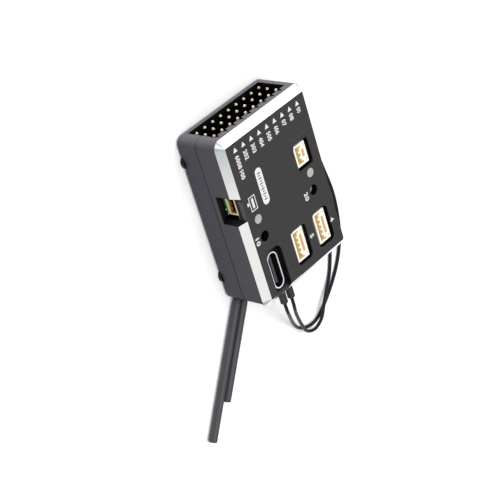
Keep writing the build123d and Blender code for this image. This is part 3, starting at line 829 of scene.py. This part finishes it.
# Fluoropolymer cable jacket: dark blue-black, with a weak shine since its index is low.
jacket = moulding("fluoropolymer_cable_jacket", "#10161d", "#161e27", 0.4, 0.2)
coat(leads.values(), jacket)
dress(["aerial_core_1", "aerial_core_2", "aerial_lead_1", "aerial_lead_2"], jacket)
# Soft rubber boots: matt, with a slight bloom.
rubber = moulding("soft_rubber_boot", "#222227", "#2c2c33", 0.6)
dress(["aerial_boot_1", "aerial_boot_2"], rubber)
# Glass-filled black nylon of the header body, the connectors and the chips: the glass
# roughens the skin, so it has only a soft shine.
black_nodes = ["header_block", "mcu_chip", "gyro_chip", "memory_chip", "regulator_chip"]
black_nodes += ["power_coil", "clock_crystal", "stack_socket", "stack_plug"]
black_nodes += ["button_frame_left", "button_frame_right"]
dress(black_nodes, moulding("glass_filled_black_nylon", "#08080a", "#0e0e11", 0.45))
# Acetal plungers: mid grey and waxy.
acetal = moulding("grey_acetal_plunger", "#77777a", "#88888b", 0.5)
dress(["button_plunger_left", "button_plunger_right"], acetal)
# Fired ceramic of the capacitors: dull brown.
dress(["capacitors"], moulding("barium_titanate_ceramic", "#7d6147", "#94765a", 0.6))
# Epoxy over the lamp chips: pale yellow from the phosphor in it.
lamp = moulding("epoxy_lamp_chip", "#e8e4c0", "#f4f0d6", 0.4)
dress(["light_chip_left", "light_chip_right"], lamp)
# The tongue of the data port is smoother, and mirrors the sky as a blue-grey streak; its black
# nylon is also painted a lighter blue-grey, as a painted sheen.
tongue = moulding("black_nylon_tongue_painted_sheen", "#39404a", "#454d59", 0.3)
dress(["data_port_tongue"], tongue)

# %% [markdown]
# ## Screen ink
# The ink is a paste of pigment that dries matt, slightly uneven where it went on thinner.
# It could be a flat white, but that looks cut from paper. It is near enough to a moulding
# to come from the same function, with a finer grain.

# %% Ink materials
white_ink = moulding("white_screen_ink", "#dcdcd8", "#ececea", 0.6, grain_mm=INK_GRAIN)
coat([arrow_marks, number_marks, scale_field, plug_sign], white_ink)
dark_ink = moulding("dark_screen_ink", "#1b1b1e", "#26262a", 0.6, grain_mm=INK_GRAIN)
coat([scale_strokes], dark_ink)

# %% [markdown]
# ## The light windows
# The windows are frosted acrylic, milky grey and blurred inside. At its rim each one turns
# dark, since there the black wall of its hole shows through. Real transmission could show
# that wall, but it is slow and grainy in so small a piece. So the rim is found by the
# distance from the window's own centre and coloured.

# %% Light window material
WINDOW_CENTRES = [(-9.65, 0.05), (8.7, 0.75)]
WINDOW_CLEAR = 0.98
WINDOW_RIM = 0.1


def window_material():
    """Frosted acrylic with a dark rim."""
    material, tree, place = new_material("frosted_acrylic_light_pipe")
    haze = {"Vector": place, "Scale": grain(1.4), "Detail": 2.0}
    haze = add(tree, "ShaderNodeTexNoise", {}, haze).outputs["Fac"]
    colour = {"Factor": haze, "A": "#a8a7a1", "B": "#b9b8b2"}
    colour = add(tree, "ShaderNodeMix", COLOURS, colour).outputs["Result"]
    flat = {0: place, 1: (1, 1, 0)}
    flat = add(tree, "ShaderNodeVectorMath", {"operation": "MULTIPLY"}, flat).outputs[0]
    nearest = None
    for x, y in WINDOW_CENTRES:
        ends = {0: flat, 1: (x * MM, y * MM, 0)}
        far = add(tree, "ShaderNodeVectorMath", {"operation": "DISTANCE"}, ends).outputs["Value"]
        if nearest is not None:
            pair = {0: nearest, 1: far}
            far = add(tree, "ShaderNodeMath", {"operation": "MINIMUM"}, pair).outputs[0]
        nearest = far
    clear, dark = WINDOW_CLEAR * MM, (WINDOW_CLEAR + WINDOW_RIM) * MM
    rim = {"Value": nearest, "From Min": clear, "From Max": dark}
    rim = add(tree, "ShaderNodeMapRange", {}, rim).outputs["Result"]
    colour = {"Factor": rim, "A": colour, "B": "#1d1e20"}
    colour = add(tree, "ShaderNodeMix", COLOURS, colour).outputs["Result"]
    # Frosting of about 0.05 mm, drawn at 0.35 mm.
    frost = {"Vector": place, "Scale": grain(0.35), "Detail": 2.0}
    frost = add(tree, "ShaderNodeTexNoise", {}, frost).outputs["Fac"]
    normal = {"Strength": 0.3, "Distance": 0.01 * MM, "Height": frost}
    normal = add(tree, "ShaderNodeBump", {}, normal).outputs["Normal"]
    shader = add(tree, "ShaderNodeBsdfPrincipled", {}, {
        "Base Color": colour, "Metallic": 0.0, "Roughness": 0.45, "Normal": normal
    })
    add(tree, "ShaderNodeOutputMaterial", {}, {"Surface": shader.outputs[0]})
    return material


dress(["light_window_left", "light_window_right"], window_material())

# %% [markdown]
# ## The plug sockets: natural nylon that glows tan inside
# The sockets are unfilled nylon, cream where light falls on it. In the deep slots the light has
# passed through and off the nylon many times and comes back tan. Light that scatters inside a
# body could be computed, but here it is painted: the slots and the mouth of the side socket are
# found by their place and painted tan and amber that darken with depth, as painted shade, and a
# faint glow on the slots and on the tops of the upright sockets is painted light.

# %% Socket material
SOCKET_SLOTS = [
    ((6.5, 3.6, 8.0), (9.4, 7.8, 12.15)),
    ((6.5, -15.85, 8.0), (9.4, -9.25, 12.15)),
    ((-1.15, -15.85, 8.0), (1.75, -9.25, 12.15)),
]
SIDE_BODY = [((-13.0, 2.0, 8.0), (-8.0, 7.6, 11.6))]
SIDE_MOUTH = [((-12.52, 2.5, 8.6), (-8.0, 7.1, 10.55))]
SOCKET_PAINTED_GLOW = 0.3


def socket_nylon():
    """Cream nylon, with painted shade in tan in its slots and amber in the side socket's mouth,
    and a painted glow.
    """
    material, tree, place = new_material("natural_nylon_socket")
    here = add(tree, "ShaderNodeSeparateXYZ", {}, {"Vector": place}).outputs
    slots = within(tree, place, SOCKET_SLOTS)
    cloud = {"Vector": place, "Scale": grain(1.5), "Detail": 2.0}
    cloud = add(tree, "ShaderNodeTexNoise", {}, cloud).outputs["Fac"]
    cream = {"Factor": cloud, "A": "#f3eee0", "B": "#faf6ea"}
    cream = add(tree, "ShaderNodeMix", COLOURS, cream).outputs["Result"]
    # Painted shade: the tan deepens from 12.1 mm down to 10.6 mm, and the amber darkens from the
    # mouth inwards.
    depth = {"Value": here["Z"], "From Min": 12.1 * MM, "From Max": 10.6 * MM}
    depth = add(tree, "ShaderNodeMapRange", {}, depth).outputs["Result"]
    tan = {"Factor": depth, "A": "#e4d3ae", "B": "#cdb384"}
    tan = add(tree, "ShaderNodeMix", COLOURS, tan).outputs["Result"]
    inward = {"Value": here["X"], "From Min": -12.5 * MM, "From Max": -11.2 * MM}
    inward = add(tree, "ShaderNodeMapRange", {}, inward).outputs["Result"]
    amber = {"Factor": inward, "A": "#a88b4a", "B": "#3a2a0c"}
    amber = add(tree, "ShaderNodeMix", COLOURS, amber).outputs["Result"]
    # The side socket's body is given a darker cream.
    side_body = within(tree, place, SIDE_BODY)
    side_mouth = within(tree, place, SIDE_MOUTH)
    for share, tint in ((side_body, "#d5c79c"), (slots, tan), (side_mouth, amber)):
        layers = {"Factor": share, "A": cream, "B": tint}
        cream = add(tree, "ShaderNodeMix", COLOURS, layers).outputs["Result"]
    # The mould's texture of about 0.02 mm is drawn at 0.4 mm.
    skin = {"Vector": place, "Scale": grain(0.4), "Detail": 2.0}
    skin = add(tree, "ShaderNodeTexNoise", {}, skin).outputs["Fac"]
    normal = {"Strength": 0.2, "Distance": 0.01 * MM, "Height": skin}
    normal = add(tree, "ShaderNodeBump", {}, normal).outputs["Normal"]
    # Painted light: only the top of the upright sockets glows, and their slots.
    top = {"Value": here["Z"], "From Min": 11.7 * MM, "From Max": 12.0 * MM}
    top = add(tree, "ShaderNodeMapRange", {}, top).outputs["Result"]
    glow = "#000000"
    for share, tint in ((top, "#9a9c94"), (slots, "#bfa877")):
        layers = {"Factor": share, "A": glow, "B": tint}
        glow = add(tree, "ShaderNodeMix", COLOURS, layers).outputs["Result"]
    shader = add(tree, "ShaderNodeBsdfPrincipled", {}, {
        "Base Color": cream,
        "Metallic": 0.0,
        "Roughness": 0.45,
        "Normal": normal,
        "Emission Color": glow,
        "Emission Strength": SOCKET_PAINTED_GLOW,
    })
    add(tree, "ShaderNodeOutputMaterial", {}, {"Surface": shader.outputs[0]})
    return material


sockets = ["port_three_way", "port_five_way_outer", "port_five_way_inner", "side_port"]
dress(sockets, socket_nylon())

# %% [markdown]
# ## Plated and drawn metals
# Gold plating on the contacts is soft and warm, drawn steel is cool, the case screws are
# blackened and solder is dull. A plain metal shader could do, but real plating is a little
# uneven. So one cloud of noise drives both the colour and a slight bump. The real grain of
# about 0.01 mm is drawn at 0.3 mm.

# %% Plated metals
PLATE_GRAIN = 0.3
PLATE_DEPTH = 0.01


def plate(name, low, high, roughness):
    """A metal whose surface drifts between two shades."""
    material, tree, place = new_material(name)
    cloud = {"Vector": place, "Scale": grain(PLATE_GRAIN), "Detail": 2.0}
    cloud = add(tree, "ShaderNodeTexNoise", {}, cloud).outputs["Fac"]
    colour = {"Factor": cloud, "A": low, "B": high}
    colour = add(tree, "ShaderNodeMix", COLOURS, colour).outputs["Result"]
    normal = {"Strength": 0.15, "Distance": PLATE_DEPTH * MM, "Height": cloud}
    normal = add(tree, "ShaderNodeBump", {}, normal).outputs["Normal"]
    shader = add(tree, "ShaderNodeBsdfPrincipled", {}, {
        "Base Color": colour, "Metallic": 1.0, "Roughness": roughness, "Normal": normal
    })
    add(tree, "ShaderNodeOutputMaterial", {}, {"Surface": shader.outputs[0]})
    return material


gold_nodes = [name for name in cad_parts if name.endswith("_contacts")]
gold_nodes += ["aerial_plug_1", "aerial_plug_2"]
dress(gold_nodes, plate("gold_plated_bronze", "#c79d4f", "#dbb76f", 0.3))
# The gold terminals are painted dark, as painted shade, deep in their shell.
gold_in_painted_shade = plate("gold_terminals_painted_shade", "#3b3a38", "#4b4945", 0.4)
dress(["data_port_terminals"], gold_in_painted_shade)
# Oil-blackened steel: a dark mirror, a little blurred.
dress(["case_screws"], plate("blackened_steel_screw", "#1e1e20", "#2c2c2f", 0.4))
# Drawn stainless steel: cool and light, with a soft sheen.
dress(["receiver_can"], plate("drawn_stainless_steel", "#b5b5b3", "#cfcfcc", 0.3))
# Lead-free solder: light grey, and duller than the steel.
coat([solder_joints], plate("tin_solder", "#a9b5b0", "#c3ccc8", 0.35))

# %% [markdown]
# ## The servo pins: gold, with painted shade and a painted glint
# The pins are gold. Deep in the header mouth little light reaches them, so further in they are
# painted dark, as painted shade. Each could be split in two pieces, but a real pin is one. So
# the material looks at the place along the pin and goes from the painted shade to pale gold at
# the tip. A faint glow stands for the spark on each tip, which is smaller than a pixel: a
# painted highlight.

# %% Pin plating
PIN_SHADE_FADES = 19.55
PIN_FULLY_LIT = 19.7
PIN_PAINTED_GLINT = 0.35


def pin_gold_painted_shade():
    """Pale gold at the tips with a painted glint, and painted shade further in."""
    material, tree, place = new_material("gold_pins_painted_shade_and_glint")
    here = add(tree, "ShaderNodeSeparateXYZ", {}, {"Vector": place}).outputs
    reach = {"Value": here["Y"], "From Min": PIN_SHADE_FADES * MM, "From Max": PIN_FULLY_LIT * MM}
    reach = add(tree, "ShaderNodeMapRange", {}, reach).outputs["Result"]
    cloud = {"Vector": place, "Scale": grain(PLATE_GRAIN), "Detail": 2.0}
    cloud = add(tree, "ShaderNodeTexNoise", {}, cloud).outputs["Fac"]
    gold = {"Factor": cloud, "A": "#f3e3bd", "B": "#fff6df"}
    gold = add(tree, "ShaderNodeMix", COLOURS, gold).outputs["Result"]
    colour = {"Factor": reach, "A": "#171411", "B": gold}
    colour = add(tree, "ShaderNodeMix", COLOURS, colour).outputs["Result"]
    glow = {"Factor": reach, "A": "#000000", "B": "#ffeecb"}
    glow = add(tree, "ShaderNodeMix", COLOURS, glow).outputs["Result"]
    shader = add(tree, "ShaderNodeBsdfPrincipled", {}, {
        "Base Color": colour,
        "Metallic": 1.0,
        "Roughness": 0.35,
        "Emission Color": glow,
        "Emission Strength": PIN_PAINTED_GLINT,
    })
    add(tree, "ShaderNodeOutputMaterial", {}, {"Surface": shader.outputs[0]})
    return material


dress(["header_pins"], pin_gold_painted_shade())

# %% [markdown]
# ## The data port's shell: tinned steel
# The shell is drawn from thin tinned steel, bright at its cut rim and dark inside, where little
# light comes. It could be lit by a lamp of its own, but that would spill on the case. So the rim
# is found by its height and gets a white colour and a faint glow, as a painted highlight, and
# the inside is painted dark, as painted shade.

# %% Port shell
PORT_RIM_START = 11.6
PORT_RIM_FULL = 11.74
PORT_RIM_PAINTED_GLINT = 0.2


def port_steel():
    """Tinned steel, with a painted highlight on its cut rim and painted shade inside."""
    material, tree, place = new_material("tinned_steel_port_shell")
    here = add(tree, "ShaderNodeSeparateXYZ", {}, {"Vector": place}).outputs
    rim = {"Value": here["Z"], "From Min": PORT_RIM_START * MM, "From Max": PORT_RIM_FULL * MM}
    rim = add(tree, "ShaderNodeMapRange", {}, rim).outputs["Result"]
    colour = {"Factor": rim, "A": "#2e2f32", "B": "#ffffff"}
    colour = add(tree, "ShaderNodeMix", COLOURS, colour).outputs["Result"]
    glow = {"Factor": rim, "A": "#000000", "B": "#ffffff"}
    glow = add(tree, "ShaderNodeMix", COLOURS, glow).outputs["Result"]
    shader = add(tree, "ShaderNodeBsdfPrincipled", {}, {
        "Base Color": colour,
        "Metallic": 0.6,
        "Roughness": 0.4,
        "Emission Color": glow,
        "Emission Strength": PORT_RIM_PAINTED_GLINT,
    })
    add(tree, "ShaderNodeOutputMaterial", {}, {"Surface": shader.outputs[0]})
    return material


dress(["data_port_shell"], port_steel())

# %% [markdown]
# ## Circuit board
# A board is glass cloth in epoxy under a glossy green mask. Beside the cut-out for the side
# notch the board is coloured near black. The cloth could be two crossed waves, but under the
# mask it only shows as a faint cloud, of about the 0.6 mm of its threads. Copper tracks lift the
# mask here and there by a few hundredths of a millimetre.

# %% Board material
BOARD_BLACK_PATCH = [((-14.0, -1.0, 6.0), (-8.0, 2.35, 9.0))]


def board_material():
    """Glossy green mask over glass cloth."""
    material, tree, place = new_material("solder_masked_glass_epoxy")
    cloth = {"Vector": place, "Scale": grain(0.6), "Detail": 2.0}
    cloth = add(tree, "ShaderNodeTexNoise", {}, cloth).outputs["Fac"]
    colour = {"Factor": cloth, "A": "#0a6234", "B": "#11804a"}
    colour = add(tree, "ShaderNodeMix", COLOURS, colour).outputs["Result"]
    colour = {"Factor": within(tree, place, BOARD_BLACK_PATCH), "A": colour, "B": "#0c0f10"}
    colour = add(tree, "ShaderNodeMix", COLOURS, colour).outputs["Result"]
    tracks = {"Vector": place, "Scale": grain(0.25), "Detail": 2.0}
    tracks = add(tree, "ShaderNodeTexNoise", {}, tracks).outputs["Fac"]
    normal = {"Strength": 0.3, "Distance": 0.02 * MM, "Height": tracks}
    normal = add(tree, "ShaderNodeBump", {}, normal).outputs["Normal"]
    shader = add(tree, "ShaderNodeBsdfPrincipled", {}, {
        "Base Color": colour, "Metallic": 0.0, "Roughness": 0.25, "Normal": normal
    })
    add(tree, "ShaderNodeOutputMaterial", {}, {"Surface": shader.outputs[0]})
    return material


dress(["main_board", "upper_board", "header_board"], board_material())

# %% [markdown]
# ## Aerial sleeves: extruded tube with fine draw lines
# The sleeves are thin extruded tubes, and the die leaves faint lines along them. Lines could
# be drawn as waves, but waves are too regular. So noise is turned to the sleeves' own
# direction and drawn out 25 times along it. Real draw lines are about 0.05 mm apart, and
# these are 0.4 mm apart, so that they show.

# %% Sleeve material
DRAW_OUT = 25


def sleeve_material():
    """Dark plastic with draw lines along the sleeves."""
    material, tree, place = new_material("extruded_sleeve")
    angle = atan2(SLEEVE_RUN.y, SLEEVE_RUN.x)
    turned = {"Vector": place, "Rotation": (0, 0, -angle)}
    turned = add(tree, "ShaderNodeMapping", {}, turned).outputs[0]
    drawn = {"Vector": turned, "Scale": (1 / DRAW_OUT, 1, 1)}
    drawn = add(tree, "ShaderNodeMapping", {}, drawn).outputs[0]
    lines = {"Vector": drawn, "Scale": grain(0.4), "Detail": 2.0}
    lines = add(tree, "ShaderNodeTexNoise", {}, lines).outputs["Fac"]
    colour = {"Factor": lines, "A": "#2d2b31", "B": "#48454b"}
    colour = add(tree, "ShaderNodeMix", COLOURS, colour).outputs["Result"]
    normal = {"Strength": 0.3, "Distance": 0.03 * MM, "Height": lines}
    normal = add(tree, "ShaderNodeBump", {}, normal).outputs["Normal"]
    shader = add(tree, "ShaderNodeBsdfPrincipled", {}, {
        "Base Color": colour, "Metallic": 0.0, "Roughness": 0.5, "Normal": normal
    })
    add(tree, "ShaderNodeOutputMaterial", {}, {"Surface": shader.outputs[0]})
    return material


sleeve = sleeve_material()
dress(["aerial_sleeve_1", "aerial_sleeve_2"], sleeve)
coat([shrink_ends], sleeve)

# %% [markdown]
# ## The floor
# The photograph is a packshot on a white paper sweep, exposed until the paper burns out. A
# curved sweep could be built, but the camera sees only its flat part, so a plane will do.
# The paper gives a little light of its own, which stands for that exposure.

# %% Floor
FLOOR_SIZE = 4.0
FLOOR_GLOW = 0.12

deselect()
bpy.ops.mesh.primitive_plane_add(size=FLOOR_SIZE, location=(0, 0, 0))
floor = bpy.context.object
floor.name = "floor"
paper, tree, place = new_material("white_paper_sweep")
fibres = {"Vector": place, "Scale": grain(2.0), "Detail": 2.0}
fibres = add(tree, "ShaderNodeTexNoise", {}, fibres).outputs["Fac"]
white = {"Factor": fibres, "A": "#fbfbfb", "B": "#ffffff"}
white = add(tree, "ShaderNodeMix", COLOURS, white).outputs["Result"]
sheet = add(tree, "ShaderNodeBsdfPrincipled", {}, {
    "Base Color": white,
    "Metallic": 0.0,
    "Roughness": 0.9,
    "Emission Color": "#ffffff",
    "Emission Strength": FLOOR_GLOW,
})
add(tree, "ShaderNodeOutputMaterial", {}, {"Surface": sheet.outputs[0]})
floor.data.materials.append(paper)
print("floor in m:", FLOOR_SIZE)

# %% [markdown]
# ## Studio light
# One large soft light hangs overhead. Three dim ones at the left, in front and at the right
# are there for the cut edges to mirror. Small lamps could light the case as well, but they
# give hard shadows and hot spots on the bevels. The world adds even light, so that no side
# goes black.

# %% Lights
WORLD_STRENGTH = 0.45
SOFT_BOX_SIZE = 0.8
# Each soft box has a direction from the case, a distance in m and a power in W.
SOFT_BOXES = {
    "overhead": ((-0.1, 0.05, 1.0), 1.2, 8.0),
    "left": ((-0.72, -0.444, 0.537), 1.0, 1.0),
    "front": ((-0.47, 0.61, 0.63), 1.0, 1.1),
    "right": ((0.58, 0.65, 0.48), 1.0, 2.8),
}

world = bpy.data.worlds.new("studio")
bpy.context.scene.world = world
world.use_nodes = True
background = world.node_tree.nodes["Background"]
background.inputs["Color"].default_value = linear("#ffffff")
background.inputs["Strength"].default_value = WORLD_STRENGTH

for name, (direction, distance, power) in SOFT_BOXES.items():
    data = bpy.data.lights.new(name, "AREA")
    data.energy = power
    data.size = SOFT_BOX_SIZE
    light = bpy.data.objects.new(name, data)
    light.location = Vector(direction).normalized() * distance
    light.rotation_euler = (-light.location).to_track_quat("-Z", "Y").to_euler()
    bpy.context.scene.collection.objects.link(light)
bpy.context.scene.view_settings.view_transform = "Standard"
print("lights:", list(SOFT_BOXES))

# %% [markdown]
# ## The last update
# At the end the view layer is brought up to date. The dress of a part must not change its size.

# %% Update the view layer
bpy.context.view_layer.update()
